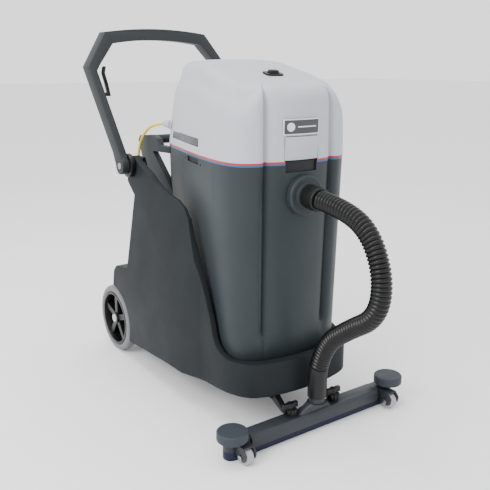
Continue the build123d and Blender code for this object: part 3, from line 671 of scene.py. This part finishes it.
# ---------------------------------------------------------------- tank
@dataclass
class TankBody:
    """Blow-moulded tank with its pinstripes, inlet and grip."""

    wall_mm: float = 6.0
    foot_rise: float = 6.0
    groove_end_z: float = 236.0  # the recessed front panel ends here
    groove_start_z: float = 252.0
    gap_low: tuple = (-53, -400, 640)  # the pinstripes are open over the latch pocket
    gap_high: tuple = (41, -250, 690)
    pocket_low: tuple = (-52, -400, 643)
    pocket_high: tuple = (40, -250, 672)
    slot_y: tuple = (-100, -15)
    slot_z: tuple = (644, 657)
    side_x: tuple = (90, 200)  # the slots' tools lie between these
    hole_x: float = 145.0
    holes: tuple = ((4, 649), (-116, 645))
    hole_r: float = 2.6

    def shell(self) -> bpy.types.Object:
        """The tank's wall, open at the top, with its pocket and side slots.

        Returns:
            The mesh object.
        """
        levels = [(112, 0.93, 0), (112.6, 0.965, 0), (118, 0.988, 0), (126, 1, 0),
                  (self.groove_end_z, 1, 0), (self.groove_end_z + 4, 1, 0.25),
                  (self.groove_end_z + 9, 1, 0.7), (self.groove_start_z, 1, 1), (420, 1, 1),
                  (669, 1, 1)]
        rings = [OUTLINE.ring(z, OUTLINE.draft(z) * share, groove) for z, share, groove in levels]
        piece = loft("tank_shell", rings, cap_last=False)
        thicken(piece, self.wall_mm)
        dress(piece, TANK_PP)
        pocket = OUTLINE.strip("pocket_tool", self.pocket_low, self.pocket_high, 3.0, 7.5)
        # the pocket's cut walls take the near-black painted shade colour
        dress(pocket, POCKET_PAINTED_SHADE)
        combine(piece, pocket, "DIFFERENCE")
        for side in SIDES.values():
            low, high = sorted(side * x for x in self.side_x)
            slot = OUTLINE.strip("slot_tool", (low, self.slot_y[0], self.slot_z[0]),
                                 (high, self.slot_y[1], self.slot_z[1]), 2.0, 6.0)
            # the slot's cut walls take the near-black painted shade colour
            dress(slot, POCKET_PAINTED_SHADE)
            combine(piece, slot, "DIFFERENCE")
            for y, z in self.holes:
                hole = round_bar("hole_tool", (side * self.hole_x, y, z), self.hole_r, 40,
                                 (0, 90, 0), 16)
                # the hole's wall takes the near-black painted shade colour
                dress(hole, POCKET_PAINTED_SHADE)
                combine(piece, hole, "DIFFERENCE")
        smooth(piece, 40)
        return piece

    def stripes(self) -> None:
        """Red and blue vinyl lines under the seam, open at the latch pocket."""
        for name, low_z, high_z, finish in (("stripe_red", 665.0, 669.0, RED_VINYL),
                                            ("stripe_blue", 660.6, 664.8, BLUE_VINYL)):
            piece = OUTLINE.band(f"{name}_line", low_z, high_z, 0.7, 0.9)
            gap = rounded_box("gap_tool", self.gap_low, self.gap_high, 1.0)
            combine(piece, gap, "DIFFERENCE")
            smooth(piece)
            dress(piece, finish)
            stand_for(piece, "trolley", name)

    def build(self) -> None:
        """Make the tank and what is fixed to it."""
        stand_for(self.shell(), "trolley", "tank")
        self.stripes()
        soften("inlet_ring", TANK_PP, 3.0, 3)
        soften("tipping_grip", TANK_PP, 2.5, 3)


# ---------------------------------------------------------------- head
def ramp(value: float, low: float, high: float) -> float:
    """Ease from 0 at low to 1 at high.

    Args:
        value: Number to ease.
        low: Where it starts.
        high: Where it ends.

    Returns:
        The eased share.
    """
    share = max(0.0, min(1.0, (value - low) / (high - low)))
    return share * share * (3 - 2 * share)


def smooth_profile(levels: tuple) -> list[tuple[float, float, float]]:
    """Cut the corners of a profile of three columns once, and keep its ends.

    Args:
        levels: Rows of plan share and the two heights.

    Returns:
        The longer, smoother rows.
    """
    cut = [levels[0]]
    for before, after in zip(levels, levels[1:]):
        for share in (0.25, 0.75):
            cut.append(tuple(a + (b - a) * share for a, b in zip(before, after)))
    return [*cut, levels[-1]]


@dataclass
class SuctionHead:
    """Light grey head: stepped dome with a sloping front, switch, badge and latch flap."""

    centre_y: float = -55.0
    top_z: float = 898.0
    slope_start_y: float = -70.0
    slope: float = 0.262
    base_z: float = 669.4
    wall_mm: float = 4.0
    hatch_x: tuple = (60, 200)
    hatch_y: tuple = (-104, 128)
    hatch_z: tuple = (688, 709)
    flap_low: tuple = (-54, -400, 671.5)
    flap_high: tuple = (42, -250, 725.5)
    rear_lean: float = 0.15  # how much the back of the dome narrows on its way up
    # plan share, height share at the sides, height share at the front
    profile: tuple = ((1.004, 0.0, 0.0), (0.999, 0.3, 0.42), (0.994, 0.5, 0.78),
                      (0.985, 0.62, 0.89), (0.965, 0.69, 0.945), (0.938, 0.745, 0.982),
                      (0.91, 0.785, 0.994), (0.897, 0.85, 0.998), (0.872, 0.915, 1.0),
                      (0.84, 0.945, 1.0), (0.76, 0.982, 1.0), (0.5, 1.0, 1.0), (0.02, 1.0, 1.0))

    def roof(self, y: float) -> float:
        """Height of the roof: flat at the back, sloping down to the front.

        Args:
            y: Place along the machine.

        Returns:
            The height.
        """
        drop = max(0.0, self.slope_start_y - y)
        ease = min(1.0, drop / 60)
        return self.top_z - self.slope * drop * (0.5 + 0.5 * ease)

    def rings(self) -> list[list[Point]]:
        """Rings of the dome from its rim to the middle of the roof.

        Returns:
            The rings, lowest first.
        """
        levels = smooth_profile(self.profile)
        rings = []
        for share, side_height, front_height in levels:
            groove = max(0.0, min(1.0, (share - 0.62) / 0.3))
            ring = []
            for x, y in OUTLINE.plan(groove):
                near_front = 1.0 if y < -200 else 0.0
                front = near_front * (1 - ramp(abs(x), 100, 160))
                height = side_height + (front_height - side_height) * front
                lean = 1 - self.rear_lean * side_height * ramp(y, -150, 150)
                px = x * share * lean
                py = self.centre_y + (y - self.centre_y) * share * lean
                ring.append((px, py, self.base_z + height * (self.roof(py) - self.base_z)))
            rings.append(ring)
        return rings

    def cover(self) -> bpy.types.Object:
        """The head's shell, with the flap's opening and the side hatches.

        Returns:
            The mesh object.
        """
        piece = loft("head_shell", self.rings(), cap_first=False)
        thicken(piece, self.wall_mm)
        dress(piece, HEAD_ABS)
        opening = rounded_box("flap_tool", (-55.3, -400, 640), (43.3, -300, 727), 5.0, 3)
        combine(piece, opening, "DIFFERENCE")
        for side in SIDES.values():
            low, high = sorted(side * x for x in self.hatch_x)
            hatch = OUTLINE.strip("hatch_tool", (low, self.hatch_y[0], self.hatch_z[0]),
                                  (high, self.hatch_y[1], self.hatch_z[1]), 3.0, 5.6)
            dress(hatch, HATCH_DARK)
            combine(piece, hatch, "DIFFERENCE")
        smooth(piece, 30)
        return piece

    def flap(self) -> bpy.types.Object:
        """The latch flap, a curved panel flush with the front.

        Returns:
            The mesh object.
        """
        piece = OUTLINE.strip("latch_flap_panel", self.flap_low, self.flap_high, 1.2, 5.0)
        bevel(piece, 1.4, 2, 60)
        smooth(piece, 40)
        dress(piece, HEAD_ABS)
        return piece

    def badge(self) -> None:
        """A blank printed plate: white rim, grey field, one pale disc and a pale line."""
        rim = OUTLINE.strip("badge_rim", (-61, -400, 730), (41, -250, 766), 1.4, 2.0)
        dress(rim, BADGE_WHITE)
        stand_for(rim, "head", "badge_plate")
        field_plate = OUTLINE.strip("badge_field", (-58.6, -400, 732.4), (38.6, -250, 763.6),
                                    1.8, 1.2)
        dress(field_plate, BADGE_GREY)
        disc = OUTLINE.strip("badge_disc", (-54, -400, 737), (-30, -250, 759), 2.2, 1.0)
        combine(disc, round_bar("disc_tool", (-42, -330, 748), 10, 60, (90, 0, 0)), "INTERSECT")
        line = OUTLINE.strip("badge_line", (-24, -400, 746.6), (30, -250, 749.4), 2.2, 1.0)
        for piece in (disc, line):
            dress(piece, BADGE_WHITE)
        for piece in (field_plate, disc, line):
            stand_for(piece, "head")

    def build(self) -> None:
        """Make the head and what is fixed to it."""
        stand_for(self.cover(), "head", "head_cover")
        stand_for(self.flap(), "latch", "latch_flap")
        self.badge()
        soften("switch_bezel", BLACK_ABS, 1.2, 2)
        soften("rocker_switch", BLACK_ABS, 1.5, 3)
        soften("cord_gland", HEAD_ABS, 1.2, 2)
        for node, finish in (("motor_plate", BLACK_ABS), ("head_gasket", SEAL_RUBBER),
                             ("fan_case", MOTOR_STEEL), ("suction_fan", ALUMINIUM),
                             ("suction_motor", MOTOR_STEEL), ("float_cage", BLACK_ABS),
                             ("float_ball", BALL_PP), ("filter_sleeve", FILTER_FELT)):
            dress(frame["nodes"][node], finish)


# ---------------------------------------------------------------- trolley and wheels
@dataclass
class Trolley:
    """Rotationally moulded trolley with its rear wheels and swivelling castors."""

    hem_z: float = 63.0  # the skirt's lower edge at the back
    hem_back_y: float = 239.0
    hem_front_y: float = -194.0
    hem_mid_y: float = -10.0  # the skirt is lifted most here
    hem_lift: float = 20.0
    hem_reach: float = 90.0  # the lift fades out over this height
    hem_inner_x: float = 150.0

    def lift_hem(self, piece: bpy.types.Object) -> None:
        """Raise the middle of the skirt's lower edge so that it runs straight to the front.

        Args:
            piece: The trolley's shell.
        """
        for vertex in piece.data.vertices:
            x, y, z = vertex.co / MM
            if abs(x) > self.hem_inner_x and self.hem_front_y < y < self.hem_back_y:
                end_y = self.hem_front_y if y < self.hem_mid_y else self.hem_back_y
                along = (end_y - y) / (end_y - self.hem_mid_y)
                upwards = max(0.0, 1 - (z - self.hem_z) / self.hem_reach)
                vertex.co.z += self.hem_lift * along * min(1.0, upwards) * MM

    def build(self) -> None:
        """Make the trolley and its wheels."""
        self.lift_hem(soften("trolley_shell", TROLLEY_PE, 9.0, 3, 20))
        for name in SIDES:
            soften(f"rear_tyre_{name}", TYRE_TPR, 3.0, 3)
            soften(f"rear_wheel_{name}", BLACK_ABS, 1.5, 2)
            soften(f"hub_cap_{name}", PALE_NYLON, 2.0, 3)
            soften(f"castor_fork_{name}", ZINC, 1.0, 2)
            soften(f"castor_wheel_{name}", BLACK_ABS, 1.0, 2)
        soften("rear_axle", ZINC, 1.0, 2)
        soften("axle_washers", ZINC, 0.6, 1)


# ---------------------------------------------------------------- push handle
@dataclass
class PushHandle:
    """Folding push handle with its bearing discs, bolts and clamp knobs."""

    def build(self) -> None:
        """Make the handle and its joints."""
        soften("push_handle", HANDLE_NYLON, 5.0, 3, 25)
        soften("pivot_discs", BLACK_ABS, 1.5, 2)
        soften("pivot_bolts", ZINC, 0.8, 2)
        soften("cord_hook", BLACK_ABS, 1.2, 2)
        for name in SIDES:
            soften(f"clamp_knob_{name}", BLACK_ABS, 1.5, 2)


# ---------------------------------------------------------------- front squeegee
@dataclass
class FrontSqueegee:
    """Floor squeegee on two arms, with bumper rollers, wheels and wing knobs."""

    def build(self) -> None:
        """Make the squeegee and what it turns on."""
        for node, finish, width in (("squeegee_blade", BLADE_RUBBER, 0.8),
                                    ("squeegee_bar", BAR_COAT, 2.0),
                                    ("squeegee_neck", BAR_COAT, 2.0),
                                    ("roller_posts", BAR_COAT, 1.5),
                                    ("front_forks", BAR_COAT, 1.0),
                                    ("front_wheel_pins", ZINC, 1.0),
                                    ("squeegee_arms", BLACK_STEEL, 1.5),
                                    ("squeegee_studs", ZINC, 0.6),
                                    ("squeegee_hangers", BLACK_STEEL, 1.0)):
            soften(node, finish, width)
        for name in SIDES:
            soften(f"bumper_roller_{name}", ROLLER_RUBBER, 1.0, 2)
            soften(f"front_wheel_{name}", PALE_PU, 1.0, 2)
            soften(f"squeegee_knob_{name}", BLACK_ABS, 1.2, 2)


# ---------------------------------------------------------------- hose and lead
def cord_curve(name: str, points: list[Point], radius_mm: float = 0.0) -> bpy.types.Object:
    """A smooth curve with the points as its control points.

    Args:
        name: Name of the curve.
        points: Control points in millimetres.
        radius_mm: Radius of the round section, or 0 for the bare line.

    Returns:
        The curve object.
    """
    curve = bpy.data.curves.new(name, "CURVE")
    curve.dimensions = "3D"
    curve.resolution_u = 6
    spline = curve.splines.new("NURBS")
    spline.points.add(len(points) - 1)
    for target, point in zip(spline.points, points):
        target.co = (*(Vector(point) * MM), 1.0)
    spline.order_u = 3
    spline.use_endpoint_u = True
    curve.bevel_depth = radius_mm * MM
    curve.bevel_resolution = 4
    curve.use_fill_caps = radius_mm > 0
    piece = bpy.data.objects.new(name, curve)
    bpy.context.scene.collection.objects.link(piece)
    return piece


def even_points(curve: bpy.types.Object, step_mm: float) -> list[Vector]:
    """Points of a bare curve, evenly spaced.

    Args:
        curve: Curve object with no bevel.
        step_mm: Distance from one point to the next.

    Returns:
        Points in metres, the curve's two ends among them.
    """
    curve.data.resolution_u = 40
    line = bpy.data.meshes.new_from_object(curve)
    raw = [vertex.co.copy() for vertex in line.vertices]
    lengths = [0.0]
    for before, after in zip(raw, raw[1:]):
        lengths.append(lengths[-1] + (after - before).length)
    count = max(2, round(lengths[-1] / (step_mm * MM)))
    points, span = [], 0
    for index in range(count + 1):
        target = lengths[-1] * index / count
        while span < len(raw) - 2 and lengths[span + 1] < target:
            span += 1
        gap = lengths[span + 1] - lengths[span]
        share = 0.0 if gap == 0 else (target - lengths[span]) / gap
        points.append(raw[span].lerp(raw[span + 1], min(1.0, share)))
    bpy.data.meshes.remove(line)
    return points


@dataclass
class SuctionHose:
    """Corrugated hose from the tank's inlet down to the squeegee, with its two cuffs."""

    diameter: float = 47.0
    rib_pitch: float = 9.4  # spacing of the ribs
    rib_depth: float = 3.2
    sides: int = 36
    length: float = 622.0
    route: tuple = ((-392, 584), (-468, 578), (-553, 543), (-600, 450), (-588, 357),
                    (-500, 300), (-424, 240), (-404, 175))
    rib_shape: tuple = (0.0, 0.45, 0.9, 1.0, 0.9, 0.45)  # radius over one rib, from valley to crest

    def ribs(self, points: list[Vector]) -> bpy.types.Object:
        """The ribbed tube round a line of points, in the plane X = 0.

        Args:
            points: Line of the hose, in metres.

        Returns:
            The mesh object.
        """
        shape = bmesh.new()
        rings = []
        side_way = Vector((1, 0, 0))
        for index, point in enumerate(points):
            before = points[max(0, index - 1)]
            after = points[min(len(points) - 1, index + 1)]
            up_way = (after - before).normalized().cross(side_way)
            share = self.rib_shape[index % len(self.rib_shape)]
            radius = (self.diameter / 2 - self.rib_depth * (1 - share)) * MM
            turns = [2 * math.pi * step / self.sides for step in range(self.sides)]
            rings.append([shape.verts.new(point + radius * (side_way * math.cos(turn)
                                                            + up_way * math.sin(turn)))
                          for turn in turns])
        for ring, following in zip(rings, rings[1:]):
            for step in range(self.sides):
                later = (step + 1) % self.sides
                shape.faces.new((ring[step], ring[later], following[later], following[step]))
        shape.faces.new(rings[0])
        shape.faces.new(rings[-1])
        bmesh.ops.recalc_face_normals(shape, faces=shape.faces)
        mesh = bpy.data.meshes.new("suction_hose_ribs")
        shape.to_mesh(mesh)
        shape.free()
        piece = bpy.data.objects.new("suction_hose_ribs", mesh)
        bpy.context.scene.collection.objects.link(piece)
        smooth(piece, 60)
        return piece

    def build(self) -> None:
        line = cord_curve("hose_line", [(0.0, y, z) for y, z in self.route])
        points = even_points(line, self.rib_pitch / len(self.rib_shape))
        bpy.data.objects.remove(line)
        piece = self.ribs(points)
        dress(piece, HOSE_PVC)
        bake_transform(piece)
        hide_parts("suction_hose")
        cuffs = [soften("hose_cuff_upper", CUFF_PVC, 2.0, 3),
                 soften("hose_cuff_lower", CUFF_PVC, 1.5, 2)]
        LOG.info("%s bends from the trolley to the squeegee", piece.name)


@dataclass
class MainsLead:
    """Ten metres of yellow mains lead: down behind the tank and wound into a coil."""

    diameter: float = 8.0
    length: float = 10000.0
    route: tuple = ((-88, 197, 722), (-93, 240, 717), (-98, 290, 698), (-103, 326, 655),
                    (-106, 340, 590), (-100, 346, 510), (-92, 340, 430), (-80, 352, 350),
                    (-64, 376, 275), (-48, 396, 205), (-38, 412, 140), (-26, 425, 82),
                    (-4, 434, 36), (34, 440, 10))
    centre: tuple = (75.0, 530.0)
    outer_r: float = 88.5
    inner_r: float = 53.5
    end_r: float = 68.0
    layer_z: float = 8.2
    layers: int = 5
    turns: float = 20.078
    lift_turn: float = 0.125  # part of a turn in which the lead climbs to the next layer
    points_per_turn: int = 16
    tail: tuple = ((118, 477, 45), (134, 488, 49), (143, 499, 50), (143, 505, 50))

    def coil(self) -> list[Point]:
        """Control points of the wound turns: layer on layer, inwards and outwards by turns.

        Returns:
            The points, in millimetres.
        """
        spans = [self.outer_r - self.inner_r] * (self.layers - 1) + [self.outer_r - self.end_r]
        wound = self.turns - self.lift_turn * self.layers
        pitch = sum(spans) / wound
        # a control polygon of n points a turn has its curve a little inside it
        reach = 2 / (1 + math.cos(2 * math.pi / self.points_per_turn)) ** 0.5 / 2 ** 0.5
        points = []
        for index in range(int(self.turns * self.points_per_turn) + 1):
            turn = index / self.points_per_turn
            angle = math.radians(-90) + 2 * math.pi * turn
            layer, left = 0, turn
            while layer < self.layers - 1 and left > self.lift_turn + spans[layer] / pitch:
                left -= self.lift_turn + spans[layer] / pitch
                layer += 1
            lift = min(1.0, left / self.lift_turn) if layer else 1.0
            way = max(0.0, left - self.lift_turn) * pitch
            if layer % 2 == 0:
                radius = self.outer_r - way
            else:
                radius = self.inner_r + way
            z = self.diameter / 2 + self.layer_z * (layer - 1 + lift)
            points.append((self.centre[0] + radius * reach * math.cos(angle),
                           self.centre[1] + radius * reach * math.sin(angle), z + 0.3))
        return points

    def build(self) -> None:
        piece = cord_curve("mains_lead_jacket", [*self.route, *self.coil(), *self.tail],
                           self.diameter / 2)
        dress(piece, LEAD_PVC)
        stand_for(piece, "trolley", "mains_lead", "lead_coil")
        plug = soften("plug", BLACK_ABS, 2.5, 3)
        pins = soften("plug_pins", BRASS, 0.3, 1)


# ---------------------------------------------------------------- studio
@dataclass
class Studio:
    """White floor, soft light and the camera."""

    floor_m: float = 60.0
    camera_place: tuple = (-1.0076, -1.5391, 0.8873)
    camera_back: tuple = (-0.5503, -0.7932, 0.2608)
    lens_mm: float = 49.28

    def floor(self) -> None:
        """A white floor."""
        bpy.ops.object.select_all(action="DESELECT")
        bpy.ops.mesh.primitive_plane_add(size=self.floor_m, location=(0, 0, 0))
        floor = bpy.context.object
        floor.name = "studio_floor"
        dress(floor, Finish("white_paper", "#f4f4f5", "#f1f1f2", 0.9, specular=0.1))

    def area(self, name: str, place: Point, size: float, power: float) -> None:
        """A square softbox aimed at the machine.

        Args:
            name: Name of the light.
            place: Where it stands, in metres.
            size: Side of the square, in metres.
            power: Watts.
        """
        light = bpy.data.lights.new(name, "AREA")
        light.size = size
        light.energy = power
        lamp = bpy.data.objects.new(name, light)
        lamp.location = place
        lamp.rotation_mode = "QUATERNION"
        aim = Vector((0, 0, 0.45)) - Vector(place)
        lamp.rotation_quaternion = aim.to_track_quat("-Z", "Y")
        bpy.context.scene.collection.objects.link(lamp)

    def build(self) -> None:
        """Set up the floor, the light and the camera."""
        self.floor()
        world = bpy.data.worlds.new("studio_air")
        world.use_nodes = True
        ground = world.node_tree.nodes["Background"]
        ground.inputs["Color"].default_value = (1.0, 1.0, 1.0, 1.0)
        ground.inputs["Strength"].default_value = 1.7
        bpy.context.scene.world = world
        self.area("key_softbox", (-2.4, -0.6, 2.0), 1.4, 60)
        self.area("top_softbox", (-0.2, 0.3, 3.0), 1.6, 40)
        camera = bpy.data.cameras.new("studio_camera")
        camera.lens = self.lens_mm
        camera.sensor_width = 36.0
        holder = bpy.data.objects.new("studio_camera", camera)
        holder.location = self.camera_place
        holder.rotation_mode = "QUATERNION"
        holder.rotation_quaternion = (-Vector(self.camera_back)).to_track_quat("-Z", "Y")
        bpy.context.scene.collection.objects.link(holder)
        bpy.context.scene.camera = holder


def main() -> None:
    """Build the machine in order and report each piece."""
    logging.basicConfig(level=logging.INFO, format="%(name)s: %(message)s")
    for part in (Studio(), TankBody(), SuctionHead(), Trolley(), PushHandle(), FrontSqueegee(),
                 SuctionHose(), MainsLead()):
        LOG.info("building %s", type(part).__name__)
        part.build()


if __name__ == "__main__":
    main()
